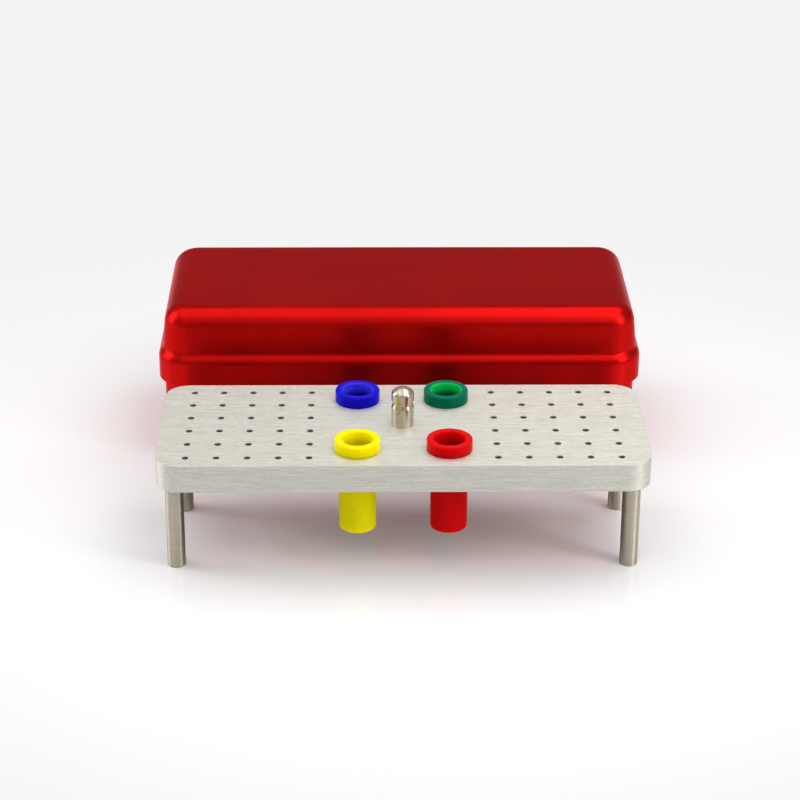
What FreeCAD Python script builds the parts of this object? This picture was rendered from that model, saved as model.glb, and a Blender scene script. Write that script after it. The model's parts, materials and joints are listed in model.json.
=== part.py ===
import FreeCAD, Part
import math
import os

import Sketcher

# Endodontic box: a drawn aluminium slip-lid box, and the file stand that is stored in it.
# The frame has its origin on the floor under the middle of the closed box.
# +X runs along the box, +Y away from the stand, which is in front of the box, and +Z up.
# Lengths are in millimetres and angles in degrees.

SIZES = (
    # File plate
    ("plate_length", 160.8, "file plate, end to end"),
    ("plate_width", 62.4, "file plate, front to rear"),
    ("plate_thickness", 9.45, "file plate, thickness"),
    ("plate_corner", 8.0, "file plate, plan corner radius"),
    ("plate_edge_break", 0.2, "file plate, chamfer of the long edges"),
    # File holes
    ("file_hole_diameter", 2.0, "file hole, drilled through"),
    ("file_hole_pitch", 10.0, "file holes, pitch along and across"),
    ("file_hole_rows", 6, "file holes, rows from front to rear"),
    ("file_hole_columns", 5, "file holes, columns in each group"),
    ("file_group_gap", 61.2, "file holes, between the groups' inner columns"),
    # Cups
    ("cup_bore", 10.4, "cup, inside diameter"),
    ("cup_wall", 0.9, "cup, wall of the tube"),
    ("cup_lip", 1.4, "cup, collar beyond the tube"),
    ("cup_collar_height", 4.0, "cup, collar above the plate"),
    ("cup_reach", 28.0, "cup, tube below the collar"),
    ("cup_floor", 1.5, "cup, bottom wall"),
    ("cup_edge_round", 0.4, "cup, edge radius of the collar"),
    ("cup_foot_round", 0.8, "cup, edge radius of the closed end"),
    ("cup_clearance", 0.3, "cup, play around the tube in the plate"),
    ("cup_spacing_along", 30.0, "cups, centres along the plate"),
    ("cup_spacing_across", 38.0, "cups, centres across the plate"),
    # Legs
    ("leg_diameter", 6.0, "leg, turned bar"),
    ("leg_height", 32.2, "leg, floor to plate"),
    ("leg_chamfer", 0.2, "leg, chamfer of the foot"),
    ("leg_from_end", 5.4, "leg, axis to the plate's end"),
    ("leg_from_side", 11.2, "leg, axis to the plate's side"),
    # Spigots of the legs and of the knob
    ("spigot_diameter", 4.0, "spigot, over its thread"),
    ("spigot_length", 6.0, "spigot, length"),
    ("spigot_clearance", 0.05, "spigot, play around it in its hole"),
    ("spigot_spare_depth", 1.0, "spigot hole, depth beyond the spigot"),
    # Lifting knob
    ("knob_diameter", 7.4, "knob, plain barrel"),
    ("knob_barrel_height", 6.5, "knob, barrel up to the shoulder"),
    ("knob_shoulder_height", 1.2, "knob, sloped shoulder"),
    ("knob_neck_depth", 0.38, "knob, neck below the barrel's surface"),
    ("knob_neck_height", 1.1, "knob, straight part of the neck"),
    ("knob_undercut_height", 0.1, "knob, slope under the head"),
    ("knob_head_height", 2.7, "knob, straight side of the head"),
    ("knob_dome_height", 2.0, "knob, ball-shaped top over the head's edge"),
    # Drawn box
    ("sheet_wall", 1.2, "box, sheet thickness"),
    ("room_at_ends", 2.55, "box, play at each end of the stored plate"),
    ("room_at_sides", 2.15, "box, play at each side of the stored plate"),
    ("room_above", 0.75, "box, play above the stored knob"),
    ("tray_corner", 9.55, "tray, plan corner radius"),
    ("tray_foot_round", 6.0, "tray, outer radius of the bottom edge"),
    ("rim_round", 0.5, "tray and lid, edge radius of the cut sheet"),
    ("lid_gap", 0.75, "lid, play around the tray"),
    ("lid_seat_gap", 0.28, "lid, play straight up from the tray's rim to the shoulder"),
    ("skirt_level", 30.5, "lid, floor to the skirt's lower edge"),
    ("skirt_height", 6.65, "lid, straight skirt below the shoulder"),
    ("shoulder_round", 7.4, "lid, outer radius of the rolled shoulder"),
    ("shoulder_lean", 33.5, "lid, lean of the shoulder's slope from upright"),
    ("shoulder_slope", 0.1, "lid, straight slope from the shoulder to the crease"),
    ("crease_round", 0.8, "lid, outer radius of the crease over the shoulder"),
    ("lid_draft", 5.5, "lid, draft angle of the upper wall"),
    ("lid_top_round", 6.8, "lid, outer radius of the top edge"),
    # Place of the stand
    ("stand_distance", 90.3, "middle of the box to middle of the stand"),
)

# Sizes that follow from the ones above, as expressions on the sheet.
CUP_TUBE_RADIUS = "(Sizes.cup_bore / 2 + Sizes.cup_wall)"
CUP_COLLAR_RADIUS = f"({CUP_TUBE_RADIUS} + Sizes.cup_lip)"
CUP_HOLE_RADIUS = f"({CUP_TUBE_RADIUS} + Sizes.cup_clearance)"
SPIGOT_HOLE_RADIUS = "(Sizes.spigot_diameter / 2 + Sizes.spigot_clearance)"
SPIGOT_HOLE_DEPTH = "(Sizes.spigot_length + Sizes.spigot_spare_depth)"
LEG_X = "(Sizes.plate_length / 2 - Sizes.leg_from_end)"
LEG_Y = "(Sizes.plate_width / 2 - Sizes.leg_from_side)"
KNOB_NECK_LEVEL = "(Sizes.knob_barrel_height + Sizes.knob_shoulder_height)"
KNOB_HEAD_LEVEL = f"({KNOB_NECK_LEVEL} + Sizes.knob_neck_height + Sizes.knob_undercut_height)"
KNOB_EDGE_LEVEL = f"({KNOB_HEAD_LEVEL} + Sizes.knob_head_height)"
KNOB_HEIGHT = f"({KNOB_EDGE_LEVEL} + Sizes.knob_dome_height)"
TRAY_LENGTH = "(Sizes.plate_length + 2 * (Sizes.room_at_ends + Sizes.sheet_wall))"
TRAY_WIDTH = "(Sizes.plate_width + 2 * (Sizes.room_at_sides + Sizes.sheet_wall))"
SKIRT_OUT = "(Sizes.lid_gap + Sizes.sheet_wall)"
SKIRT_LENGTH = f"({TRAY_LENGTH} + 2 * {SKIRT_OUT})"
SKIRT_WIDTH = f"({TRAY_WIDTH} + 2 * {SKIRT_OUT})"
SKIRT_CORNER = f"(Sizes.tray_corner + {SKIRT_OUT})"
# The shoulder's two rounds and the slope between them, measured along the slope.
SHOULDER_REACH = "(Sizes.shoulder_round * tan(Sizes.shoulder_lean / 2))"
CREASE_REACH = "(Sizes.crease_round * tan((Sizes.shoulder_lean - Sizes.lid_draft) / 2))"
SLOPE_LENGTH = f"({SHOULDER_REACH} + Sizes.shoulder_slope + {CREASE_REACH})"
SLOPE_LEVEL = f"(Sizes.skirt_height + {SHOULDER_REACH})"
SLOPE_HEIGHT = f"({SLOPE_LENGTH} * cos(Sizes.shoulder_lean))"
SLOPE_IN = f"({SLOPE_LENGTH} * sin(Sizes.shoulder_lean))"
WALL_LEVEL = f"({SLOPE_LEVEL} + {SLOPE_HEIGHT})"
WALL_LENGTH = f"({SKIRT_LENGTH} - 2 * {SLOPE_IN})"
WALL_WIDTH = f"({SKIRT_WIDTH} - 2 * {SLOPE_IN})"
WALL_CORNER = f"({SKIRT_CORNER} - {SLOPE_IN})"
BOX_HEIGHT = (
    f"(Sizes.leg_height + Sizes.plate_thickness + {KNOB_HEIGHT}"
    " + Sizes.room_above + 2 * Sizes.sheet_wall)"
)
LID_TOP = f"({BOX_HEIGHT} - Sizes.skirt_level)"
WALL_HEIGHT = f"({LID_TOP} - {WALL_LEVEL})"
# The tray's wall ends a seat gap below the round inner face of the lid's shoulder.
TRAY_HEIGHT = (
    "(Sizes.skirt_level + Sizes.skirt_height - Sizes.lid_seat_gap"
    " + sqrt((Sizes.shoulder_round - Sizes.sheet_wall) ^ 2"
    f" - (Sizes.shoulder_round - {SKIRT_OUT}) ^ 2))"
)

NEAR = 1e-4

doc = FreeCAD.newDocument("EndodonticBox")
sheet = doc.addObject("Spreadsheet::Sheet", "Sizes")
for row, (alias, value, meaning) in enumerate(SIZES, start=1):
    sheet.set(f"A{row}", meaning)
    sheet.set(f"B{row}", str(value))
    sheet.setAlias(f"B{row}", alias)
doc.recompute()


def number(expression):
    """The value of an expression on the sheet, as a plain number."""
    result = sheet.evalExpression(expression)
    return float(getattr(result, "Value", result))


def new_body(name, x="0", y="0", z="0"):
    """An empty body with its label and its place in the frame."""
    body = doc.addObject("PartDesign::Body", name)
    body.Label = name
    body.setExpression("Placement.Base.x", x)
    body.setExpression("Placement.Base.y", y)
    body.setExpression("Placement.Base.z", z)
    return body


def new_sketch(body, name, plane="XY_Plane", level=None):
    """A sketch on one of the body's own origin planes, raised to a level if one is given."""
    sketch = body.newObject("Sketcher::SketchObject", f"{body.Name}_{name}")
    origin = [f for f in body.Origin.OriginFeatures if f.Role == plane]
    sketch.AttachmentSupport = [(origin[0], "")]
    sketch.MapMode = "FlatFace"
    if level is not None:
        sketch.setExpression("AttachmentOffset.Base.z", level)
    return sketch


def bind(sketch, kind, geometry, name, expression):
    """Add a driving constraint, name it and tie it to the sheet."""
    index = sketch.addConstraint(Sketcher.Constraint(kind, *geometry, number(expression)))
    sketch.renameConstraint(index, name)
    sketch.setExpression(f"Constraints.{name}", expression)


def rounded_rectangle(sketch, length, width, radius):
    """A rectangle with round corners about the sketch's origin."""
    reach_x = number(length) / 2
    reach_y = number(width) / 2
    round_r = number(radius)
    flat_x = reach_x - round_r
    flat_y = reach_y - round_r
    normal = FreeCAD.Vector(0, 0, 1)
    sides = (
        ((-flat_x, -reach_y), (flat_x, -reach_y)),
        ((reach_x, -flat_y), (reach_x, flat_y)),
        ((flat_x, reach_y), (-flat_x, reach_y)),
        ((-reach_x, flat_y), (-reach_x, -flat_y)),
    )
    corners = ((flat_x, -flat_y), (flat_x, flat_y), (-flat_x, flat_y), (-flat_x, -flat_y))
    for index in range(4):
        start, end = (FreeCAD.Vector(*point, 0) for point in sides[index])
        sketch.addGeometry(Part.LineSegment(start, end))
        circle = Part.Circle(FreeCAD.Vector(*corners[index], 0), normal, round_r)
        first = (index - 1) * math.pi / 2
        sketch.addGeometry(Part.ArcOfCircle(circle, first, first + math.pi / 2))
    for index in range(4):
        line = 2 * index
        arc = line + 1
        following = (line + 2) % 8
        sketch.addConstraint(Sketcher.Constraint("Tangent", line, 2, arc, 1))
        sketch.addConstraint(Sketcher.Constraint("Tangent", arc, 2, following, 1))
    for line, direction in ((0, "Horizontal"), (4, "Horizontal"), (2, "Vertical"), (6, "Vertical")):
        sketch.addConstraint(Sketcher.Constraint(direction, line))
    for arc in (3, 5, 7):
        sketch.addConstraint(Sketcher.Constraint("Equal", 1, arc))
    sketch.addConstraint(Sketcher.Constraint("Symmetric", 1, 3, 5, 3, -1, 1))
    bind(sketch, "DistanceX", (6, 1, 2, 1), "length", length)
    bind(sketch, "DistanceY", (0, 1, 4, 1), "width", width)
    bind(sketch, "Radius", (1,), "corner", radius)


def circle_at(sketch, radius, x="0", y="0"):
    """A circle whose centre is placed from the sketch's origin."""
    index = sketch.GeometryCount
    centre = FreeCAD.Vector(number(x), number(y), 0)
    sketch.addGeometry(Part.Circle(centre, FreeCAD.Vector(0, 0, 1), number(radius)))
    bind(sketch, "Radius", (index,), f"radius_{index}", radius)
    if x == "0" and y == "0":
        sketch.addConstraint(Sketcher.Constraint("Coincident", index, 3, -1, 1))
    else:
        bind(sketch, "DistanceX", (-1, 1, index, 3), f"x_{index}", x)
        bind(sketch, "DistanceY", (-1, 1, index, 3), f"y_{index}", y)


def pad(body, sketch, length, taper=None, reversed_way=False):
    """Extrude a sketch by a length, with a draft angle if one is given."""
    feature = body.newObject("PartDesign::Pad", sketch.Name + "_pad")
    feature.Profile = sketch
    feature.Reversed = reversed_way
    feature.setExpression("Length", length)
    if taper is not None:
        feature.setExpression("TaperAngle", taper)
    doc.recompute()
    return feature


def pocket(body, sketch, depth, reversed_way=False):
    """Cut a sketch into the body by a depth, and make sure that it cuts."""
    before = body.Tip.Shape.Volume
    feature = body.newObject("PartDesign::Pocket", sketch.Name + "_pocket")
    feature.Profile = sketch
    feature.Reversed = reversed_way
    feature.setExpression("Length", depth)
    doc.recompute()
    if body.Tip.Shape.Volume >= before - NEAR:
        raise RuntimeError(f"{feature.Name} cuts nothing")
    return feature


def edges_where(shape, test):
    """Names of the edges whose ends and middle all pass the test."""
    names = []
    for index, edge in enumerate(shape.Edges, start=1):
        middle = edge.valueAt((edge.FirstParameter + edge.LastParameter) / 2)
        points = [vertex.Point for vertex in edge.Vertexes] + [middle]
        if all(test(point) for point in points):
            names.append(f"Edge{index}")
    return names


def edges_at(shape, level):
    """Names of the edges that lie at one height."""
    return edges_where(shape, lambda point: abs(point.z - level) < NEAR)


def blend(body, kind, name, edges, size):
    """Round or bevel edges of the body's last feature."""
    carrier = body.Tip
    feature = body.newObject(f"PartDesign::{kind}", f"{body.Name}_{name}")
    feature.Base = (carrier, edges)
    feature.setExpression("Radius" if kind == "Fillet" else "Size", size)
    doc.recompute()
    body.Tip = feature
    return feature


def make_file_plate():
    """The milled plate: an extruded slab, cup holes, spigot holes and the drilled grid."""
    body = new_body("file_plate", y="-Sizes.stand_distance", z="Sizes.leg_height")
    outline = new_sketch(body, "outline")
    rounded_rectangle(outline, "Sizes.plate_length", "Sizes.plate_width", "Sizes.plate_corner")
    pad(body, outline, "Sizes.plate_thickness")
    top = number("Sizes.plate_thickness")
    rims = edges_at(body.Tip.Shape, 0) + edges_at(body.Tip.Shape, top)
    blend(body, "Chamfer", "edge_break", rims, "Sizes.plate_edge_break")

    cup_holes = new_sketch(body, "cup_holes", level="Sizes.plate_thickness")
    for along in ("-", ""):
        for across in ("-", ""):
            circle_at(
                cup_holes,
                CUP_HOLE_RADIUS,
                f"{along}Sizes.cup_spacing_along / 2",
                f"{across}Sizes.cup_spacing_across / 2",
            )
    pocket(body, cup_holes, "Sizes.plate_thickness")

    leg_holes = new_sketch(body, "leg_holes")
    for along in ("-", ""):
        for across in ("-", ""):
            circle_at(leg_holes, SPIGOT_HOLE_RADIUS, along + LEG_X, across + LEG_Y)
    pocket(body, leg_holes, SPIGOT_HOLE_DEPTH, reversed_way=True)

    knob_hole = new_sketch(body, "knob_hole", level="Sizes.plate_thickness")
    circle_at(knob_hole, SPIGOT_HOLE_RADIUS)
    pocket(body, knob_hole, SPIGOT_HOLE_DEPTH)

    # One file hole, the right group's front inner one, repeated along, across and by mirror.
    file_hole = new_sketch(body, "file_hole", level="Sizes.plate_thickness")
    circle_at(
        file_hole,
        "Sizes.file_hole_diameter / 2",
        "Sizes.file_group_gap / 2",
        "-(Sizes.file_hole_rows - 1) * Sizes.file_hole_pitch / 2",
    )
    first_hole = pocket(body, file_hole, "Sizes.plate_thickness")
    before = body.Tip.Shape.Volume
    grid = body.newObject("PartDesign::MultiTransform", "file_hole_grid")
    grid.Originals = [first_hole]
    grid.Transformations = [
        grid_step("columns", file_hole, "H_Axis", "Sizes.file_hole_columns"),
        grid_step("rows", file_hole, "V_Axis", "Sizes.file_hole_rows"),
        grid_mirror(body),
    ]
    body.Tip = grid
    doc.recompute()
    if body.Tip.Shape.Volume >= before - NEAR:
        raise RuntimeError("the grid of file holes cuts nothing")
    return body


def grid_step(name, sketch, axis, count):
    """One direction of the file-hole grid, at the holes' pitch."""
    step = doc.addObject("PartDesign::LinearPattern", f"file_hole_{name}")
    step.Direction = (sketch, [axis])
    step.setExpression("Occurrences", count)
    step.setExpression("Length", f"({count} - 1) * Sizes.file_hole_pitch")
    return step


def grid_mirror(body):
    """The other group of file holes, across the plate's middle plane."""
    mirror = doc.addObject("PartDesign::Mirrored", "file_hole_mirror")
    planes = [f for f in body.Origin.OriginFeatures if f.Role == "YZ_Plane"]
    mirror.MirrorPlane = (planes[0], [""])
    return mirror


def make_leg(name, along, across):
    """A turned leg: a bar with a bevelled foot, and a spigot that screws into the plate."""
    body = new_body(name, along + LEG_X, f"{across}{LEG_Y} - Sizes.stand_distance")
    bar = new_sketch(body, "bar")
    circle_at(bar, "Sizes.leg_diameter / 2")
    pad(body, bar, "Sizes.leg_height")
    blend(body, "Chamfer", "foot", edges_at(body.Tip.Shape, 0), "Sizes.leg_chamfer")
    spigot = new_sketch(body, "spigot", level="Sizes.leg_height")
    circle_at(spigot, "Sizes.spigot_diameter / 2")
    pad(body, spigot, "Sizes.spigot_length")
    return body


def make_lifting_knob():
    """The turned knob: a half-section with barrel, shoulder, neck and head, revolved."""
    body = new_body(
        "lifting_knob", y="-Sizes.stand_distance", z="Sizes.leg_height + Sizes.plate_thickness"
    )
    barrel = "Sizes.knob_diameter / 2"
    neck = "Sizes.knob_diameter / 2 - Sizes.knob_neck_depth"
    spigot = "Sizes.spigot_diameter / 2"
    section = new_sketch(body, "section", "XZ_Plane")
    turned_outline(
        section,
        (
            ("0", "-Sizes.spigot_length"),
            (spigot, "-Sizes.spigot_length"),
            (spigot, "0"),
            (barrel, "0"),
            (barrel, "Sizes.knob_barrel_height"),
            (neck, KNOB_NECK_LEVEL),
            (neck, f"{KNOB_NECK_LEVEL} + Sizes.knob_neck_height"),
            (barrel, KNOB_HEAD_LEVEL),
            (barrel, KNOB_EDGE_LEVEL),
            ("0", KNOB_HEIGHT),
        ),
        domed=True,
    )
    revolve(body, section)
    return body


def turned_outline(sketch, corners, domed=False):
    """A closed half-section, each corner placed by its radius and its height.

    A domed section ends in an arc about the axis, from its last corner but one to its top.
    """
    places = [FreeCAD.Vector(number(x), number(z), 0) for x, z in corners]
    dome = len(corners) - 2 if domed else None
    for index, place in enumerate(places):
        next_place = places[(index + 1) % len(places)]
        if index == dome:
            sketch.addGeometry(dome_arc(place, next_place))
            sketch.addConstraint(Sketcher.Constraint("PointOnObject", index, 3, -2))
        else:
            sketch.addGeometry(Part.LineSegment(place, next_place))
    for index, (x, z) in enumerate(corners):
        following = (index + 1) % len(corners)
        sketch.addConstraint(Sketcher.Constraint("Coincident", index, 2, following, 1))
        if x == "0":
            sketch.addConstraint(Sketcher.Constraint("PointOnObject", index, 1, -2))
        else:
            bind(sketch, "DistanceX", (-1, 1, index, 1), f"radius_{index}", x)
        if z == "0":
            sketch.addConstraint(Sketcher.Constraint("PointOnObject", index, 1, -1))
        else:
            bind(sketch, "DistanceY", (-1, 1, index, 1), f"level_{index}", z)


def dome_arc(edge, top):
    """An arc from a place beside the axis up to one on it, about a centre on the axis."""
    rise = top.y - edge.y
    ball_r = (edge.x**2 + rise**2) / (2 * rise)
    centre = FreeCAD.Vector(0, top.y - ball_r, 0)
    circle = Part.Circle(centre, FreeCAD.Vector(0, 0, 1), ball_r)
    return Part.ArcOfCircle(circle, math.atan2(edge.y - centre.y, edge.x), math.pi / 2)


def revolve(body, sketch):
    """Turn a half-section once around its upright axis."""
    feature = body.newObject("PartDesign::Revolution", sketch.Name + "_turned")
    feature.Profile = sketch
    feature.ReferenceAxis = (sketch, ["V_Axis"])
    feature.Angle = 360
    doc.recompute()
    return feature


def make_cup(name, along, across):
    """A moulded cup: a collar that rests on the plate and a closed tube through it."""
    body = new_body(
        name,
        f"{along}Sizes.cup_spacing_along / 2",
        f"{across}Sizes.cup_spacing_across / 2 - Sizes.stand_distance",
        "Sizes.leg_height + Sizes.plate_thickness",
    )
    section = new_sketch(body, "section", "XZ_Plane")
    turned_outline(
        section,
        (
            ("0", "-Sizes.cup_reach"),
            (CUP_TUBE_RADIUS, "-Sizes.cup_reach"),
            (CUP_TUBE_RADIUS, "0"),
            (CUP_COLLAR_RADIUS, "0"),
            (CUP_COLLAR_RADIUS, "Sizes.cup_collar_height"),
            ("Sizes.cup_bore / 2", "Sizes.cup_collar_height"),
            ("Sizes.cup_bore / 2", "Sizes.cup_floor - Sizes.cup_reach"),
            ("0", "Sizes.cup_floor - Sizes.cup_reach"),
        ),
    )
    revolve(body, section)
    rim = edges_at(body.Tip.Shape, number("Sizes.cup_collar_height"))
    blend(body, "Fillet", "rim", rim, "Sizes.cup_edge_round")
    foot = edges_at(body.Tip.Shape, -number("Sizes.cup_reach"))
    blend(body, "Fillet", "foot", foot, "Sizes.cup_foot_round")
    return body


def hollow(body, name, open_level):
    """Leave a sheet wall inside the body's outer form, open at one level."""
    faces = [
        f"Face{index}"
        for index, face in enumerate(body.Tip.Shape.Faces, start=1)
        if all(abs(vertex.Point.z - open_level) < NEAR for vertex in face.Vertexes)
    ]
    carrier = body.Tip
    feature = body.newObject("PartDesign::Thickness", f"{body.Name}_{name}")
    feature.Base = (carrier, faces)
    feature.setExpression("Value", "Sizes.sheet_wall")
    feature.Reversed = True
    feature.Join = "Intersection"
    doc.recompute()
    body.Tip = feature
    return feature


def make_base_tray():
    """The drawn tray: a block with a round bottom edge, hollowed to the sheet's wall."""
    body = new_body("base_tray")
    outline = new_sketch(body, "outline")
    rounded_rectangle(outline, TRAY_LENGTH, TRAY_WIDTH, "Sizes.tray_corner")
    pad(body, outline, TRAY_HEIGHT)
    blend(body, "Fillet", "foot", edges_at(body.Tip.Shape, 0), "Sizes.tray_foot_round")
    rim_level = number(TRAY_HEIGHT)
    hollow(body, "wall", rim_level)
    blend(body, "Fillet", "rim", edges_at(body.Tip.Shape, rim_level), "Sizes.rim_round")
    return body


def make_lid():
    """The drawn lid: skirt, sloped shoulder and drafted wall, rounded, then hollowed."""
    body = new_body("lid", z="Sizes.skirt_level")
    skirt = new_sketch(body, "skirt")
    rounded_rectangle(skirt, SKIRT_LENGTH, SKIRT_WIDTH, SKIRT_CORNER)
    pad(body, skirt, SLOPE_LEVEL)
    slope = new_sketch(body, "slope", level=SLOPE_LEVEL)
    rounded_rectangle(slope, SKIRT_LENGTH, SKIRT_WIDTH, SKIRT_CORNER)
    pad(body, slope, SLOPE_HEIGHT, "-Sizes.shoulder_lean")
    wall = new_sketch(body, "wall", level=WALL_LEVEL)
    rounded_rectangle(wall, WALL_LENGTH, WALL_WIDTH, WALL_CORNER)
    pad(body, wall, WALL_HEIGHT, "-Sizes.lid_draft")
    for name, level, radius in (
        ("top_edge", LID_TOP, "Sizes.lid_top_round"),
        ("crease", WALL_LEVEL, "Sizes.crease_round"),
        ("shoulder", SLOPE_LEVEL, "Sizes.shoulder_round"),
    ):
        blend(body, "Fillet", name, edges_at(body.Tip.Shape, number(level)), radius)
    hollow(body, "sheet", 0)
    blend(body, "Fillet", "skirt_edge", edges_at(body.Tip.Shape, 0), "Sizes.rim_round")
    return body


QUARTERS = (
    ("front_left", "-", "-"),
    ("front_right", "", "-"),
    ("rear_left", "-", ""),
    ("rear_right", "", ""),
)
CUP_COLOURS = {
    "front_left": "yellow",
    "front_right": "red",
    "rear_left": "blue",
    "rear_right": "green",
}

pieces = [make_base_tray(), make_lid(), make_file_plate(), make_lifting_knob()]
for quarter, along, across in QUARTERS:
    pieces.append(make_leg(f"leg_{quarter}", along, across))
    pieces.append(make_cup(f"cup_{CUP_COLOURS[quarter]}", along, across))
doc.recompute()

for item in doc.Objects:
    if "Invalid" in item.State or "Error" in item.State:
        raise RuntimeError(f"{item.Name} did not compute: {item.State}")
for piece in pieces:
    if piece.Shape.isNull() or not piece.Shape.isValid() or len(piece.Shape.Solids) != 1:
        raise RuntimeError(f"{piece.Label} is not one valid solid")

os.makedirs("parts", exist_ok=True)
for piece in pieces:
    piece.Shape.exportStep(f"parts/{piece.Label}.step")
    print(f"{piece.Label}: {piece.Shape.Volume:.1f} mm3")
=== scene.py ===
import json
import math

import bmesh
import bpy
from mathutils import Matrix, Vector

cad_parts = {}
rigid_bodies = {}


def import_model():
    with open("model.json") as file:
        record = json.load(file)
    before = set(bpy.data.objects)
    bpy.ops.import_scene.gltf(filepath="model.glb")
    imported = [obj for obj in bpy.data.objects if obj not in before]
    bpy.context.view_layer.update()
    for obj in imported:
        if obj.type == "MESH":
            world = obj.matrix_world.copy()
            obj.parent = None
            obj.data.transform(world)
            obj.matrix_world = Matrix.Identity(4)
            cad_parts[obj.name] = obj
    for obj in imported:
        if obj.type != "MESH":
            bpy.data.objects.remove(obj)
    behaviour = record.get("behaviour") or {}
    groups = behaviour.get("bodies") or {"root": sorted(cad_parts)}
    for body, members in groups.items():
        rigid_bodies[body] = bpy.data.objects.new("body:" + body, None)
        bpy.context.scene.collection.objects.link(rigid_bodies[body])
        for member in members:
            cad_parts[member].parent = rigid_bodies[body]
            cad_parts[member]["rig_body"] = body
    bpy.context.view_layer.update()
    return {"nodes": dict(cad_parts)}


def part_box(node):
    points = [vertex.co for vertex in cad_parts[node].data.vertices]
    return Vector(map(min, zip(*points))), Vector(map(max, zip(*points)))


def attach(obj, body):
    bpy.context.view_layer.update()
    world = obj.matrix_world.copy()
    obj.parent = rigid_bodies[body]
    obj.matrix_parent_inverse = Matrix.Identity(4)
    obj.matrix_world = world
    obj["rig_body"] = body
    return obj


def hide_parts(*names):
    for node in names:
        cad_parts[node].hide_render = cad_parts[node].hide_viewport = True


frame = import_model()


# The camera looks down on the stand from the front, with the closed box behind it.
# Its place is in metres in the frame of the part, and its turn in degrees.
camera_place = Vector((-0.0129, -0.7905, 0.37715))
camera_down = math.radians(25.01)
camera_right = math.radians(0.983)
camera_roll = math.radians(0.286)
camera_lens = 105.0
camera_sensor = 36.0

ahead = Vector((
    math.sin(camera_right) * math.cos(camera_down),
    math.cos(camera_right) * math.cos(camera_down),
    -math.sin(camera_down),
))
level = Vector((math.cos(camera_right), -math.sin(camera_right), 0.0))
upright = level.cross(ahead)
across = level * math.cos(camera_roll) + upright * math.sin(camera_roll)
upward = upright * math.cos(camera_roll) - level * math.sin(camera_roll)
camera = bpy.data.objects.new("camera", bpy.data.cameras.new("camera"))
camera.data.lens = camera_lens
camera.data.sensor_width = camera_sensor
camera.data.clip_start = 0.01
camera.data.clip_end = 20.0
turn = Matrix((across, upward, -ahead)).transposed().to_4x4()
camera.matrix_world = Matrix.Translation(camera_place) @ turn
bpy.context.scene.collection.objects.link(camera)
bpy.context.scene.camera = camera


# The tray is deep-drawn from aluminium sheet: a flat bottom, a rounded foot edge and
# straight walls with round corners. Its cut rim is rounded over. It is bead-blasted and
# then dyed red in the anodising bath, so the metal shines through a clear red layer.
MM = 0.001
sheet_wall = 1.2 * MM
tray_corner = 9.55 * MM
tray_foot_round = 6.0 * MM
rim_round = 0.5 * MM
flat_border = 0.6 * MM


def rounded_path(points, radii, steps=12):
    """Points along a bent line whose inner corners are rounded by the radii given."""
    path = [points[0]]
    for before, corner, after, radius in zip(points, points[1:], points[2:], radii):
        here = Vector(corner)
        back = (Vector(before) - here).normalized()
        on = (Vector(after) - here).normalized()
        half_angle = math.acos(max(-1.0, min(1.0, back.dot(on)))) / 2
        centre = here + (back + on).normalized() * (radius / math.sin(half_angle))
        start = here + back * (radius / math.tan(half_angle)) - centre
        end = here + on * (radius / math.tan(half_angle)) - centre
        sweep_angle = start.angle_signed(end)
        for step in range(steps + 1):
            turned = Matrix.Rotation(-sweep_angle * step / steps, 2) @ start
            path.append(tuple(centre + turned))
    path.append(points[-1])
    return path


def oblong(centre, half_x, half_y, corner, steps=18):
    """A plan: the points of a round-cornered rectangle, moved outward by a distance."""
    def points(out):
        ring = []
        for quarter in range(4):
            side_x = (1, -1, -1, 1)[quarter]
            side_y = (1, 1, -1, -1)[quarter]
            for step in range(steps + 1):
                angle = math.radians(90) * (quarter + step / steps)
                x = side_x * (half_x - corner) + (corner + out) * math.cos(angle)
                y = side_y * (half_y - corner) + (corner + out) * math.sin(angle)
                ring.append((centre.x + x, centre.y + y))
        return ring
    return points


def carry(shape, plan, profile, base=0.0):
    """Carry a profile of (out, height) points around a plan. Gives the first and last ring."""
    rings = []
    for out, height in profile:
        rings.append([shape.verts.new((x, y, base + height)) for x, y in plan(out)])
    for lower, upper in zip(rings, rings[1:]):
        for here in range(len(lower)):
            there = (here + 1) % len(lower)
            shape.faces.new((lower[here], lower[there], upper[there], upper[here]))
    return rings[0], rings[-1]


def set_down(name, shape, material, node, smooth_to=32.0):
    """Turn a worked shape into the piece that stands for a node of the frame."""
    bmesh.ops.recalc_face_normals(shape, faces=shape.faces)
    mesh = bpy.data.meshes.new(name)
    shape.to_mesh(mesh)
    shape.free()
    mesh.materials.append(material)
    mesh.shade_smooth()
    mesh.set_sharp_from_angle(angle=math.radians(smooth_to))
    piece = bpy.data.objects.new(name, mesh)
    bpy.context.scene.collection.objects.link(piece)
    even = piece.modifiers.new("even_normals", "WEIGHTED_NORMAL")
    even.keep_sharp = True
    body = frame["nodes"][node]["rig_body"]
    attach(piece, body)
    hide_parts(node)
    return piece


def socket(group, name, kind, way, value=None):
    """One named input or output of a shader node group."""
    made = group.interface.new_socket(name, in_out=way, socket_type=kind)
    if value is not None:
        made.default_value = value
    return made


def new_material(name):
    """A node material. Gives it with its node tree and its Principled shader."""
    material = bpy.data.materials.new(name)
    material.use_nodes = True
    nodes = material.node_tree.nodes
    return material, material.node_tree, nodes["Principled BSDF"]


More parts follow.
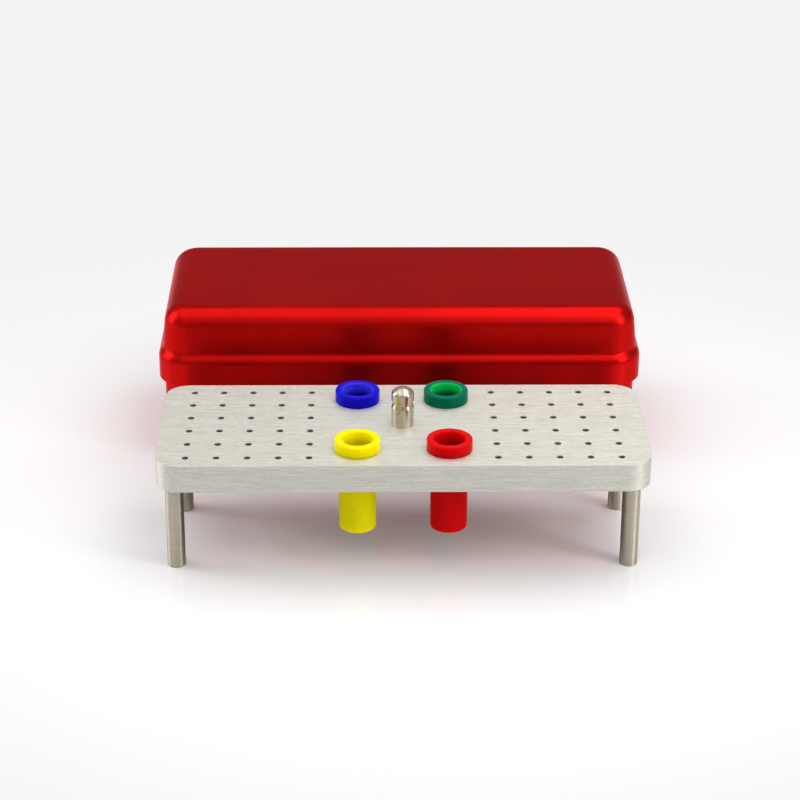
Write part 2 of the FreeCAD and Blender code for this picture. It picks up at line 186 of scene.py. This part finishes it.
# Streaks: noise pulled out along one or two directions, for any worked metal.
streaks = bpy.data.node_groups.new("streaks", "ShaderNodeTree")
socket(streaks, "Cells per metre", "NodeSocketVector", "INPUT", (1000.0, 1000.0, 1000.0))
socket(streaks, "Detail", "NodeSocketFloat", "INPUT", 3.0)
socket(streaks, "Mask", "NodeSocketFloat", "OUTPUT")
inlet = streaks.nodes.new("NodeGroupInput")
outlet = streaks.nodes.new("NodeGroupOutput")
place = streaks.nodes.new("ShaderNodeTexCoord")
pull = streaks.nodes.new("ShaderNodeVectorMath")
pull.operation = "MULTIPLY"
noise = streaks.nodes.new("ShaderNodeTexNoise")
noise.inputs["Scale"].default_value = 1.0
streaks.links.new(place.outputs["Object"], pull.inputs[0])
streaks.links.new(inlet.outputs["Cells per metre"], pull.inputs[1])
streaks.links.new(pull.outputs["Vector"], noise.inputs["Vector"])
streaks.links.new(inlet.outputs["Detail"], noise.inputs["Detail"])
streaks.links.new(noise.outputs["Fac"], outlet.inputs["Mask"])


def add_streaks(tree, cells, detail=3.0):
    """Place the streaks group in a material, with its own cell size."""
    node = tree.nodes.new("ShaderNodeGroup")
    node.node_tree = streaks
    node.inputs["Cells per metre"].default_value = cells
    node.inputs["Detail"].default_value = detail
    return node.outputs["Mask"]


def spread(tree, mask, low, high, from_low=0.3, from_high=0.7):
    """Map a mask to a range of plain numbers."""
    node = tree.nodes.new("ShaderNodeMapRange")
    node.inputs["From Min"].default_value = from_low
    node.inputs["From Max"].default_value = from_high
    node.inputs["To Min"].default_value = low
    node.inputs["To Max"].default_value = high
    tree.links.new(mask, node.inputs["Value"])
    return node.outputs["Result"]


def tint(tree, mask, dark, light, from_low=0.3, from_high=0.7):
    """Map a mask to a colour between two."""
    node = tree.nodes.new("ShaderNodeMix")
    node.data_type = "RGBA"
    node.inputs["A"].default_value = (*dark, 1.0)
    node.inputs["B"].default_value = (*light, 1.0)
    tree.links.new(spread(tree, mask, 0.0, 1.0, from_low, from_high), node.inputs["Factor"])
    return node.outputs["Result"]


def relief(tree, mask, depth, strength):
    """A bump of a real depth from a mask."""
    node = tree.nodes.new("ShaderNodeBump")
    node.inputs["Distance"].default_value = depth
    node.inputs["Strength"].default_value = strength
    tree.links.new(mask, node.inputs["Height"])
    return node.outputs["Normal"]


dye_dark = (0.52, 0.0025, 0.002)
dye_light = (0.58, 0.0035, 0.0025)
red_anodised, tree, metal = new_material("red_anodised")
blast = add_streaks(tree, (5000.0, 5000.0, 5000.0), 2.0)
cloud = add_streaks(tree, (45.0, 45.0, 45.0), 2.0)
metal.inputs["Metallic"].default_value = 1.0
metal.inputs["Specular Tint"].default_value = (1.0, 0.53, 0.53, 1.0)
metal.inputs["Coat Weight"].default_value = 0.07
metal.inputs["Coat Roughness"].default_value = 0.3
dye = tint(tree, cloud, dye_dark, dye_light)
tree.links.new(dye, metal.inputs["Base Color"])
tree.links.new(spread(tree, cloud, 0.30, 0.34), metal.inputs["Roughness"])
tree.links.new(relief(tree, blast, 0.02 * MM, 0.2), metal.inputs["Normal"])

tray_low, tray_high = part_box("base_tray")
tray_middle = (tray_low + tray_high) / 2
tray_half = (tray_high - tray_low) / 2
tray_height = tray_high.z - tray_low.z
tray_flat = -(tray_foot_round + flat_border)
tray_profile = rounded_path(
    (
        (tray_flat, 0.0),
        (0.0, 0.0),
        (0.0, tray_height),
        (-sheet_wall, tray_height),
        (-sheet_wall, sheet_wall),
        (tray_flat, sheet_wall),
    ),
    (tray_foot_round, rim_round, rim_round, tray_foot_round - sheet_wall),
)
tray_shape = bmesh.new()
tray_plan = oblong(tray_middle, tray_half.x, tray_half.y, tray_corner)
for ring in carry(tray_shape, tray_plan, tray_profile, tray_low.z):
    tray_shape.faces.new(ring)
set_down("drawn_tray", tray_shape, red_anodised, "base_tray")


# The lid is drawn from the same sheet: a flat top with a large round edge, a wall with
# draft, and a crease where the wall meets the rolled shoulder of the skirt. The skirt
# slips over the tray, and the shoulder comes down on the tray's rim.
skirt_height = 7.9 * MM
shoulder_round = 5.2 * MM
shoulder_lean = math.radians(35.5)
shoulder_slope = 0.3 * MM
crease_round = 2.4 * MM
lid_draft = math.radians(5.5)
lid_top_round = 6.8 * MM


def inset(points, distance):
    """The same bent line moved to its left side by a distance, with mitred corners."""
    moved = []
    for index, point in enumerate(points):
        sides = []
        for near, far in ((index - 1, index), (index, index + 1)):
            if near >= 0 and far < len(points):
                run = (Vector(points[far]) - Vector(points[near])).normalized()
                sides.append(Vector((-run.y, run.x)))
        mitre = sum(sides, Vector((0.0, 0.0))).normalized()
        moved.append(tuple(Vector(point) + mitre * (distance / mitre.dot(sides[0]))))
    return moved


lid_low, lid_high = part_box("lid")
lid_middle = (lid_low + lid_high) / 2
lid_half = (lid_high - lid_low) / 2
lid_height = lid_high.z - lid_low.z
shoulder_reach = shoulder_round * math.tan(shoulder_lean / 2)
crease_reach = crease_round * math.tan((shoulder_lean - lid_draft) / 2)
slope_length = shoulder_reach + shoulder_slope + crease_reach
slope_foot = skirt_height + shoulder_reach
slope_in = slope_length * math.sin(shoulder_lean)
wall_foot = slope_foot + slope_length * math.cos(shoulder_lean)
wall_lean = (lid_height - wall_foot) * math.tan(lid_draft)
lid_flat = -(slope_in + wall_lean + lid_top_round + flat_border)
lid_outside = [
    (0.0, 0.0),
    (0.0, slope_foot),
    (-slope_in, wall_foot),
    (-slope_in - wall_lean, lid_height),
    (lid_flat, lid_height),
]
lid_inside = inset(lid_outside, sheet_wall)
lid_profile = rounded_path(
    lid_inside[::-1] + lid_outside,
    (
        lid_top_round - sheet_wall,
        crease_round + sheet_wall,
        shoulder_round - sheet_wall,
        rim_round,
        rim_round,
        shoulder_round,
        crease_round,
        lid_top_round,
    ),
    steps=16,
)
lid_shape = bmesh.new()
skirt_corner = tray_corner + lid_half.x - tray_half.x
lid_plan = oblong(lid_middle, lid_half.x, lid_half.y, skirt_corner)
for ring in carry(lid_shape, lid_plan, lid_profile, lid_low.z):
    lid_shape.faces.new(ring)
set_down("drawn_lid", lid_shape, red_anodised, "lid")


# The file plate is milled from thick aluminium plate, brushed along its length on every
# face, with broken edges. Sixty small holes for the files and four for the cups are
# drilled through; the legs and the knob screw into blind holes.
plate_corner = 8.0 * MM
plate_edge = 0.15 * MM
hole_edge = 0.16 * MM
file_hole = 1.0 * MM
file_pitch = 10.0 * MM
file_rows = 6
file_columns = 5
file_group_gap = 61.2 * MM
cup_hole = 6.4 * MM
cup_along = 15.0 * MM
cup_across = 19.0 * MM
file_hole_steps = 28
cup_hole_steps = 72
drilled_to = 0.1


def round_plan(x, y, steps=48):
    """A plan: a circle about a point, whose radius is the distance out."""
    def points(out):
        turns = [2 * math.pi * step / steps for step in range(steps)]
        return [(x + out * math.cos(a), y + out * math.sin(a)) for a in turns]
    return points


plate_low, plate_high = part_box("file_plate")
plate_middle = (plate_low + plate_high) / 2
plate_half = (plate_high - plate_low) / 2
plate_thickness = plate_high.z - plate_low.z
plate_shape = bmesh.new()
plate_plan = oblong(plate_middle, plate_half.x, plate_half.y, plate_corner)
plate_profile = rounded_path(
    (
        (-2 * plate_edge, 0.0),
        (0.0, 0.0),
        (0.0, plate_thickness),
        (-2 * plate_edge, plate_thickness),
    ),
    (plate_edge, plate_edge),
    steps=4,
)
under_rings = []
upper_rings = []
bottom, top = carry(plate_shape, plate_plan, plate_profile, plate_low.z)
under_rings.append(bottom)
upper_rings.append(top)
outside_faces = len(plate_shape.faces)
holes = []
for side in (-1, 1):
    for column in range(file_columns):
        for row in range(file_rows):
            x = side * (file_group_gap / 2 + column * file_pitch)
            y = (row - (file_rows - 1) / 2) * file_pitch
            holes.append((x, y, file_hole, file_hole_steps))
    for end in (-1, 1):
        holes.append((side * cup_along, end * cup_across, cup_hole, cup_hole_steps))
for x, y, radius, steps in holes:
    hole_profile = (
        (radius + hole_edge, 0.0),
        (radius, hole_edge),
        (radius, plate_thickness - hole_edge),
        (radius + hole_edge, plate_thickness),
    )
    hole_plan = round_plan(plate_middle.x + x, plate_middle.y + y, steps)
    bottom, top = carry(plate_shape, hole_plan, hole_profile, plate_low.z)
    under_rings.append(bottom)
    upper_rings.append(top)
# The walls of the holes take the second material, which carries painted shade.
for face in list(plate_shape.faces)[outside_faces:]:
    if abs(face.normal.z) < drilled_to:
        face.material_index = 1
for rings in (under_rings, upper_rings):
    borders = []
    for ring in rings:
        for here in range(len(ring)):
            there = ring[(here + 1) % len(ring)]
            borders.append(plate_shape.edges.get((ring[here], there)))
    bmesh.ops.triangle_fill(plate_shape, use_beauty=True, use_dissolve=False, edges=borders)

brushed_dark = (0.57, 0.557, 0.50)
brushed_light = (0.80, 0.787, 0.715)
brushed_aluminium, tree, metal = new_material("brushed_aluminium")
long_brush = add_streaks(tree, (110.0, 2300.0, 2600.0), 1.5)
short_brush = add_streaks(tree, (500.0, 2600.0, 2600.0), 2.0)
fine_brush = add_streaks(tree, (500.0, 7000.0, 7000.0), 2.0)
metal.inputs["Metallic"].default_value = 1.0
metal.inputs["Anisotropic"].default_value = 0.6
marks = tree.nodes.new("ShaderNodeMath")
marks.operation = "MULTIPLY_ADD"
marks.inputs[1].default_value = 0.5
tree.links.new(long_brush, marks.inputs[0])
tree.links.new(spread(tree, short_brush, 0.15, 0.35), marks.inputs[2])
bright = tint(tree, marks.outputs["Value"], brushed_dark, brushed_light)
tree.links.new(bright, metal.inputs["Base Color"])
tree.links.new(spread(tree, short_brush, 0.53, 0.61), metal.inputs["Roughness"])
tree.links.new(relief(tree, fine_brush, 0.01 * MM, 0.25), metal.inputs["Normal"])
# The brush marks run along the plate on top and level around its edge, so that light
# spreads across them: along Y on top, and upright at the edge.
facing = tree.nodes.new("ShaderNodeNewGeometry")
facing_parts = tree.nodes.new("ShaderNodeSeparateXYZ")
flatness = tree.nodes.new("ShaderNodeMath")
flatness.operation = "ABSOLUTE"
across_marks = tree.nodes.new("ShaderNodeCombineXYZ")
across_marks.inputs["Z"].default_value = 1.0
tree.links.new(facing.outputs["Normal"], facing_parts.inputs["Vector"])
tree.links.new(facing_parts.outputs["Z"], flatness.inputs[0])
tree.links.new(flatness.outputs["Value"], across_marks.inputs["Y"])
tree.links.new(across_marks.outputs["Vector"], metal.inputs["Tangent"])
milled_plate = set_down("milled_plate", plate_shape, brushed_aluminium, "file_plate")

# The drilled walls are rougher than the brushed faces, and darker as painted shade inside the
# holes.
drilled_painted_shade_dark = (0.20, 0.19, 0.17)
drilled_painted_shade_light = (0.32, 0.31, 0.28)
drilled_aluminium_painted_shade, tree, metal = new_material("drilled_aluminium_painted_shade")
drill_marks = add_streaks(tree, (900.0, 900.0, 5000.0), 2.0)
metal.inputs["Metallic"].default_value = 0.7
drilled_painted_shade = tint(tree, drill_marks, drilled_painted_shade_dark, drilled_painted_shade_light)
tree.links.new(drilled_painted_shade, metal.inputs["Base Color"])
tree.links.new(spread(tree, drill_marks, 0.50, 0.65), metal.inputs["Roughness"])
milled_plate.data.materials.append(drilled_aluminium_painted_shade)


# The four legs are turned from stainless bar. A spigot at the top screws into the plate,
# the foot has a small bevel, and fine lathe marks run around the bar.
leg_foot_bevel = 0.2 * MM
leg_foot_edge = 0.08 * MM
leg_top_edge = 0.05 * MM
spigot_radius = 2.0 * MM
spigot_length = 6.0 * MM
spigot_root = 0.05 * MM
spigot_edge = 0.2 * MM


def turned_metal(name, dark, light, rough_low, rough_high):
    """Stainless steel with lathe marks around the upright axis of the piece."""
    material, tree, metal = new_material(name)
    lathe_marks = add_streaks(tree, (60.0, 60.0, 4000.0), 2.0)
    metal.inputs["Metallic"].default_value = 1.0
    metal.inputs["Anisotropic"].default_value = 0.95
    metal.inputs["Anisotropic Rotation"].default_value = 0.25
    around = tree.nodes.new("ShaderNodeTangent")
    around.direction_type = "RADIAL"
    around.axis = "Z"
    tree.links.new(around.outputs["Tangent"], metal.inputs["Tangent"])
    grey = tint(tree, lathe_marks, dark, light)
    tree.links.new(grey, metal.inputs["Base Color"])
    tree.links.new(spread(tree, lathe_marks, rough_low, rough_high), metal.inputs["Roughness"])
    tree.links.new(relief(tree, lathe_marks, 0.01 * MM, 0.06), metal.inputs["Normal"])
    return material


def turn_piece(name, node, profile, radii, material, steps=64, path_steps=6):
    """A turned or moulded round piece: a half-section around the node's upright axis."""
    low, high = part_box(node)
    middle = (low + high) / 2
    shape = bmesh.new()
    outline = rounded_path(profile, radii, path_steps)
    for ring in carry(shape, round_plan(middle.x, middle.y, steps), outline, low.z):
        shape.faces.new(ring)
    return set_down(name, shape, material, node)


leg_dark = (0.46, 0.415, 0.335)
leg_light = (0.54, 0.49, 0.40)
turned_stainless = turned_metal("turned_stainless", leg_dark, leg_light, 0.32, 0.38)
for quarter in ("front_left", "front_right", "rear_left", "rear_right"):
    leg_low, leg_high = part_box(f"leg_{quarter}")
    leg_radius = (leg_high.x - leg_low.x) / 2
    leg_top = leg_high.z - leg_low.z
    shoulder = leg_top - spigot_length
    turn_piece(
        f"turned_leg_{quarter}",
        f"leg_{quarter}",
        (
            (leg_radius - 3 * leg_foot_bevel, 0.0),
            (leg_radius - leg_foot_bevel, 0.0),
            (leg_radius, leg_foot_bevel),
            (leg_radius, shoulder),
            (spigot_radius, shoulder),
            (spigot_radius, leg_top),
            (spigot_radius / 2, leg_top),
        ),
        (leg_foot_edge, leg_foot_edge, leg_top_edge, spigot_root, spigot_edge),
        turned_stainless,
    )


# The knob is turned from the same bar and polished: a plain barrel, a sloped shoulder,
# a neck that tweezers grip, and a head with a ball-shaped top. Its spigot screws into
# the middle of the plate.
knob_barrel = 6.5 * MM
knob_shoulder = 1.2 * MM
knob_neck_depth = 0.38 * MM
knob_neck = 1.1 * MM
knob_undercut = 0.1 * MM
knob_dome = 2.0 * MM
knob_foot_edge = 0.1 * MM
knob_barrel_edge = 0.15 * MM
knob_neck_foot = 0.2 * MM
knob_neck_top = 0.1 * MM
knob_under_head = 0.05 * MM
knob_head_edge = 1.1 * MM
dome_steps = 12

knob_low, knob_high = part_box("lifting_knob")
knob_radius = (knob_high.x - knob_low.x) / 2
knob_top = knob_high.z - knob_low.z
neck_radius = knob_radius - knob_neck_depth
shoulder_level = spigot_length + knob_barrel
neck_level = shoulder_level + knob_shoulder
head_level = neck_level + knob_neck + knob_undercut
edge_level = knob_top - knob_dome
ball_radius = (knob_radius**2 + knob_dome**2) / (2 * knob_dome)
ball_reach = math.asin(knob_radius / ball_radius)
dome_line = []
for step in range(dome_steps):
    lean = ball_reach * (1 - step / dome_steps)
    height = knob_top - ball_radius + ball_radius * math.cos(lean)
    dome_line.append((ball_radius * math.sin(lean), height))
knob_line = rounded_path(
    (
        (spigot_radius / 2, 0.0),
        (spigot_radius, 0.0),
        (spigot_radius, spigot_length),
        (knob_radius, spigot_length),
        (knob_radius, shoulder_level),
        (neck_radius, neck_level),
        (neck_radius, head_level - knob_undercut),
        (knob_radius, head_level),
        (knob_radius, edge_level),
        dome_line[1],
    ),
    (
        spigot_edge,
        spigot_root,
        knob_foot_edge,
        knob_barrel_edge,
        knob_neck_foot,
        knob_neck_top,
        knob_under_head,
        knob_head_edge,
    ),
    steps=8,
)
knob_shape = bmesh.new()
knob_middle = (knob_low + knob_high) / 2
knob_plan = round_plan(knob_middle.x, knob_middle.y, 96)
for ring in carry(knob_shape, knob_plan, knob_line + dome_line[2:], knob_low.z):
    knob_shape.faces.new(ring)
knob_dark = (0.46, 0.42, 0.335)
knob_light = (0.54, 0.495, 0.40)
polished_stainless = turned_metal("polished_stainless", knob_dark, knob_light, 0.16, 0.20)
set_down("turned_knob", knob_shape, polished_stainless, "lifting_knob")


# The four cups are moulded in coloured plastic: a thick collar that rests on the plate,
# a closed tube that hangs through it, and slightly rounded edges. The plastic lets some
# light through, and the inside of a cup near its mouth is painted lighter as a painted glow.
cup_bore = 5.2 * MM
cup_collar_height = 4.0 * MM
cup_floor = 1.5 * MM
cup_wall = 0.9 * MM
cup_edge = 0.4 * MM
cup_foot = 0.8 * MM
cup_collar_root = 0.1 * MM
cup_collar_foot = 0.15 * MM
painted_glow_depth = 4.2 * MM
painted_glow_full = 2.2 * MM
cup_colours_and_painted_glow = {
    "yellow": ((0.80, 0.66, 0.001), (0.85, 0.71, 0.002), (0.92, 0.79, 0.002)),
    "red": ((0.53, 0.001, 0.002), (0.58, 0.002, 0.003), (0.62, 0.002, 0.003)),
    "blue": ((0.005, 0.002, 0.41), (0.008, 0.004, 0.48), (0.055, 0.050, 0.70)),
    "green": ((0.0005, 0.10, 0.057), (0.001, 0.13, 0.072), (0.004, 0.52, 0.10)),
}
light_reach = 4.0 * MM

# Painted glow: a mask for a lighter colour painted on the inner wall of a cup, full near its
# mouth and fading out lower down.
painted_glow = bpy.data.node_groups.new("painted_glow", "ShaderNodeTree")
socket(painted_glow, "Mouth", "NodeSocketVector", "INPUT", (0.0, 0.0, 0.0))
socket(painted_glow, "Mask", "NodeSocketFloat", "OUTPUT")
inlet = painted_glow.nodes.new("NodeGroupInput")
outlet = painted_glow.nodes.new("NodeGroupOutput")
spot = painted_glow.nodes.new("ShaderNodeTexCoord")
surface = painted_glow.nodes.new("ShaderNodeNewGeometry")
from_mouth = painted_glow.nodes.new("ShaderNodeVectorMath")
from_mouth.operation = "SUBTRACT"
level_part = painted_glow.nodes.new("ShaderNodeVectorMath")
level_part.operation = "MULTIPLY"
level_part.inputs[1].default_value = (-1.0, -1.0, 0.0)
inward = painted_glow.nodes.new("ShaderNodeVectorMath")
inward.operation = "NORMALIZE"
facing_in = painted_glow.nodes.new("ShaderNodeVectorMath")
facing_in.operation = "DOT_PRODUCT"
split = painted_glow.nodes.new("ShaderNodeSeparateXYZ")
shallow = spread(painted_glow, split.outputs["Z"], 0.0, 1.0, -painted_glow_depth, -painted_glow_full)
both = painted_glow.nodes.new("ShaderNodeMath")
both.operation = "MULTIPLY"
both.use_clamp = True
painted_glow.links.new(spot.outputs["Object"], from_mouth.inputs[0])
painted_glow.links.new(inlet.outputs["Mouth"], from_mouth.inputs[1])
painted_glow.links.new(from_mouth.outputs["Vector"], level_part.inputs[0])
painted_glow.links.new(level_part.outputs["Vector"], inward.inputs[0])
painted_glow.links.new(inward.outputs["Vector"], facing_in.inputs[0])
painted_glow.links.new(surface.outputs["Normal"], facing_in.inputs[1])
painted_glow.links.new(from_mouth.outputs["Vector"], split.inputs["Vector"])
painted_glow.links.new(shallow, both.inputs[0])
painted_glow.links.new(facing_in.outputs["Value"], both.inputs[1])
painted_glow.links.new(both.outputs["Value"], outlet.inputs["Mask"])

for colour, (shade, light, painted_glow_colour) in cup_colours_and_painted_glow.items():
    plastic, tree, shader = new_material(f"moulded_{colour}")
    flow = add_streaks(tree, (220.0, 220.0, 90.0), 2.0)
    skin = add_streaks(tree, (2600.0, 2600.0, 2600.0), 2.0)
    shader.inputs["Specular IOR Level"].default_value = 0.04
    shader.inputs["Subsurface Weight"].default_value = 1.0
    shader.inputs["Subsurface Scale"].default_value = 1.0
    shader.inputs["Subsurface Radius"].default_value = (light_reach, light_reach, light_reach)
    tree.links.new(spread(tree, skin, 0.28, 0.38), shader.inputs["Roughness"])
    tree.links.new(relief(tree, skin, 0.01 * MM, 0.2), shader.inputs["Normal"])
    cup_low, cup_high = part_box(f"cup_{colour}")
    cup_middle = (cup_low + cup_high) / 2
    painted_glow_node = tree.nodes.new("ShaderNodeGroup")
    painted_glow_node.node_tree = painted_glow
    painted_glow_node.inputs["Mouth"].default_value = (cup_middle.x, cup_middle.y, cup_high.z)
    # The painted glow lightens the dyed colour on the inner wall near the mouth.
    dye_and_painted_glow = tree.nodes.new("ShaderNodeMix")
    dye_and_painted_glow.data_type = "RGBA"
    dye_and_painted_glow.inputs["B"].default_value = (*painted_glow_colour, 1.0)
    tree.links.new(tint(tree, flow, shade, light), dye_and_painted_glow.inputs["A"])
    tree.links.new(painted_glow_node.outputs["Mask"], dye_and_painted_glow.inputs["Factor"])
    tree.links.new(dye_and_painted_glow.outputs["Result"], shader.inputs["Base Color"])
    collar_radius = (cup_high.x - cup_low.x) / 2
    cup_top = cup_high.z - cup_low.z
    tube_radius = cup_bore + cup_wall
    seat = cup_top - cup_collar_height
    turn_piece(
        f"moulded_cup_{colour}",
        f"cup_{colour}",
        (
            (tube_radius / 2, 0.0),
            (tube_radius, 0.0),
            (tube_radius, seat),
            (collar_radius, seat),
            (collar_radius, cup_top),
            (cup_bore, cup_top),
            (cup_bore, cup_floor),
            (cup_bore / 2, cup_floor),
        ),
        (
            cup_foot,
            cup_collar_root,
            cup_collar_foot,
            cup_edge,
            cup_edge,
            cup_foot,
        ),
        plastic,
        steps=96,
    )


# The stage is a glossy white table. Near the part it is lit as it is; far away the
# camera sees plain white, and polished surfaces see it pass into a dim front, a painted
# reflection.
floor_size = 20.0
white = (0.905, 0.897, 0.900, 1.0)
table_white = (0.90, 0.89, 0.895, 1.0)
painted_front_dim = (0.36, 0.358, 0.36)
dim_from = -0.19
dim_to = -0.40
lit_middle = (0.0, -0.04, 0.0)
near_reach = 0.10
far_reach = 0.28
painted_shade_colour = (0.12, 0.11, 0.115, 1.0)
shade_from = -0.150
shade_to = -0.105
shade_half = 0.050
shade_reach = 0.080
floor, tree, paint = new_material("white_table")
paint.inputs["Base Color"].default_value = table_white
paint.inputs["Roughness"].default_value = 0.08
distant = tree.nodes.new("ShaderNodeEmission")
from_middle = tree.nodes.new("ShaderNodeTexCoord")
place_parts = tree.nodes.new("ShaderNodeSeparateXYZ")
tree.links.new(from_middle.outputs["Object"], place_parts.inputs["Vector"])
painted_dim_reflection = tint(tree, place_parts.outputs["Y"], painted_front_dim, white[:3], dim_to, dim_from)
plain = tree.nodes.new("ShaderNodeMix")
plain.data_type = "RGBA"
plain.inputs["B"].default_value = white
tree.links.new(painted_dim_reflection, plain.inputs["A"])
tree.links.new(plain.outputs["Result"], distant.inputs["Color"])
distance = tree.nodes.new("ShaderNodeVectorMath")
distance.operation = "DISTANCE"
distance.inputs[1].default_value = lit_middle
fade = tree.nodes.new("ShaderNodeMapRange")
fade.interpolation_type = "SMOOTHSTEP"
fade.inputs["From Min"].default_value = near_reach
fade.inputs["From Max"].default_value = far_reach
rays = tree.nodes.new("ShaderNodeLightPath")
seen = tree.nodes.new("ShaderNodeMath")
seen.operation = "MAXIMUM"
seen_too = tree.nodes.new("ShaderNodeMath")
seen_too.operation = "MAXIMUM"
share = tree.nodes.new("ShaderNodeMath")
share.operation = "MULTIPLY"
blend = tree.nodes.new("ShaderNodeMixShader")
tree.links.new(from_middle.outputs["Object"], distance.inputs[0])
tree.links.new(distance.outputs["Value"], fade.inputs["Value"])
tree.links.new(rays.outputs["Is Camera Ray"], plain.inputs["Factor"])
tree.links.new(rays.outputs["Is Camera Ray"], seen.inputs[0])
tree.links.new(rays.outputs["Is Glossy Ray"], seen.inputs[1])
tree.links.new(seen.outputs["Value"], seen_too.inputs[0])
tree.links.new(rays.outputs["Is Transmission Ray"], seen_too.inputs[1])
tree.links.new(seen_too.outputs["Value"], share.inputs[0])
tree.links.new(fade.outputs["Result"], share.inputs[1])
tree.links.new(share.outputs["Value"], blend.inputs["Fac"])
tree.links.new(paint.outputs["BSDF"], blend.inputs[1])
tree.links.new(distant.outputs["Emission"], blend.inputs[2])
# Painted shade: in polished surfaces only, the table behind the stand's front edge is painted
# as a dark patch.
aside = tree.nodes.new("ShaderNodeMath")
aside.operation = "ABSOLUTE"
under = tree.nodes.new("ShaderNodeMath")
under.operation = "MULTIPLY"
under_seen = tree.nodes.new("ShaderNodeMath")
under_seen.operation = "MULTIPLY"
painted_deep_shade = tree.nodes.new("ShaderNodeEmission")
painted_deep_shade.inputs["Color"].default_value = painted_shade_colour
shaded = tree.nodes.new("ShaderNodeMixShader")
behind_edge = spread(tree, place_parts.outputs["Y"], 0.0, 1.0, shade_from, shade_to)
between_ends = spread(tree, aside.outputs["Value"], 1.0, 0.0, shade_half, shade_reach)
tree.links.new(place_parts.outputs["X"], aside.inputs[0])
tree.links.new(behind_edge, under.inputs[0])
tree.links.new(between_ends, under.inputs[1])
tree.links.new(under.outputs["Value"], under_seen.inputs[0])
tree.links.new(rays.outputs["Is Glossy Ray"], under_seen.inputs[1])
tree.links.new(under_seen.outputs["Value"], shaded.inputs["Fac"])
tree.links.new(blend.outputs["Shader"], shaded.inputs[1])
tree.links.new(painted_deep_shade.outputs["Emission"], shaded.inputs[2])
tree.links.new(shaded.outputs["Shader"], tree.nodes["Material Output"].inputs["Surface"])
table_mesh = bpy.data.meshes.new("table_top")
reach = floor_size / 2
table_mesh.from_pydata(
    [(-reach, -reach, 0.0), (reach, -reach, 0.0), (reach, reach, 0.0), (-reach, reach, 0.0)],
    [],
    [(0, 1, 2, 3)],
)
table_mesh.materials.append(floor)
table_top = bpy.data.objects.new("table_top", table_mesh)
bpy.context.scene.collection.objects.link(table_top)

# The room is grey: darkest low down behind the part and, in front, where the camera
# stands, and paler overhead and to the sides. The camera itself sees it plain white.
camera_side = (0.36, 0.36, 0.36)
front_sides = (0.54, 0.54, 0.54)
sides_from = 0.14
sides_to = 0.40
back_low = (0.30, 0.297, 0.30)
back_high = (0.51, 0.505, 0.51)
back_to = 0.36
front_end = -0.5
back_end = 0.4
world = bpy.data.worlds.new("studio")
world.use_nodes = True
bpy.context.scene.world = world
tree = world.node_tree
look = tree.nodes.new("ShaderNodeTexCoord")
look_parts = tree.nodes.new("ShaderNodeSeparateXYZ")
tree.links.new(look.outputs["Generated"], look_parts.inputs["Vector"])
to_side = tree.nodes.new("ShaderNodeMath")
to_side.operation = "ABSOLUTE"
tree.links.new(look_parts.outputs["X"], to_side.inputs[0])
front = tint(tree, to_side.outputs["Value"], camera_side, front_sides, sides_from, sides_to)
back = tint(tree, look_parts.outputs["Z"], back_low, back_high, 0.0, back_to)
toward_back = spread(tree, look_parts.outputs["Y"], 0.0, 1.0, front_end, back_end)
dome = tree.nodes.new("ShaderNodeMix")
dome.data_type = "RGBA"
tree.links.new(back, dome.inputs["B"])
tree.links.new(toward_back, dome.inputs["Factor"])
tree.links.new(front, dome.inputs["A"])
seen_plain = tree.nodes.new("ShaderNodeLightPath")
sky = tree.nodes.new("ShaderNodeMix")
sky.data_type = "RGBA"
sky.inputs["B"].default_value = white
tree.links.new(dome.outputs["Result"], sky.inputs["A"])
tree.links.new(seen_plain.outputs["Is Camera Ray"], sky.inputs["Factor"])
tree.links.new(sky.outputs["Result"], tree.nodes["Background"].inputs["Color"])


def soft_lamp(name, place, aim, size, power):
    """A rectangular area lamp that faces a point."""
    lamp = bpy.data.lights.new(name, "AREA")
    lamp.shape = "RECTANGLE"
    lamp.size = size[0]
    lamp.size_y = size[1]
    lamp.energy = power
    holder = bpy.data.objects.new(name, lamp)
    holder.location = place
    holder.rotation_euler = (Vector(aim) - Vector(place)).to_track_quat("-Z", "Y").to_euler()
    holder.visible_camera = False
    bpy.context.scene.collection.objects.link(holder)


soft_lamp("roof_right", (0.28, -0.065, 0.66), (0.28, -0.05, 0.03), (0.51, 0.71), 2.0)
soft_lamp("roof_left", (-0.28, -0.065, 0.66), (-0.28, -0.05, 0.03), (0.51, 0.71), 1.28)
soft_lamp("front_right", (0.26, -0.58, 0.52), (0.22, -0.05, 0.03), (0.40, 0.52), 0.66)
soft_lamp("front_left", (-0.26, -0.58, 0.52), (-0.22, -0.05, 0.03), (0.40, 0.52), 0.34)
soft_lamp("right_strip", (0.60, -0.42, 0.34), (0.0, -0.06, 0.03), (0.26, 0.5), 1.8)
soft_lamp("left_strip", (-0.64, 0.02, 0.28), (0.0, -0.06, 0.03), (0.32, 0.5), 1.5)

bpy.context.scene.view_settings.view_transform = "Standard"
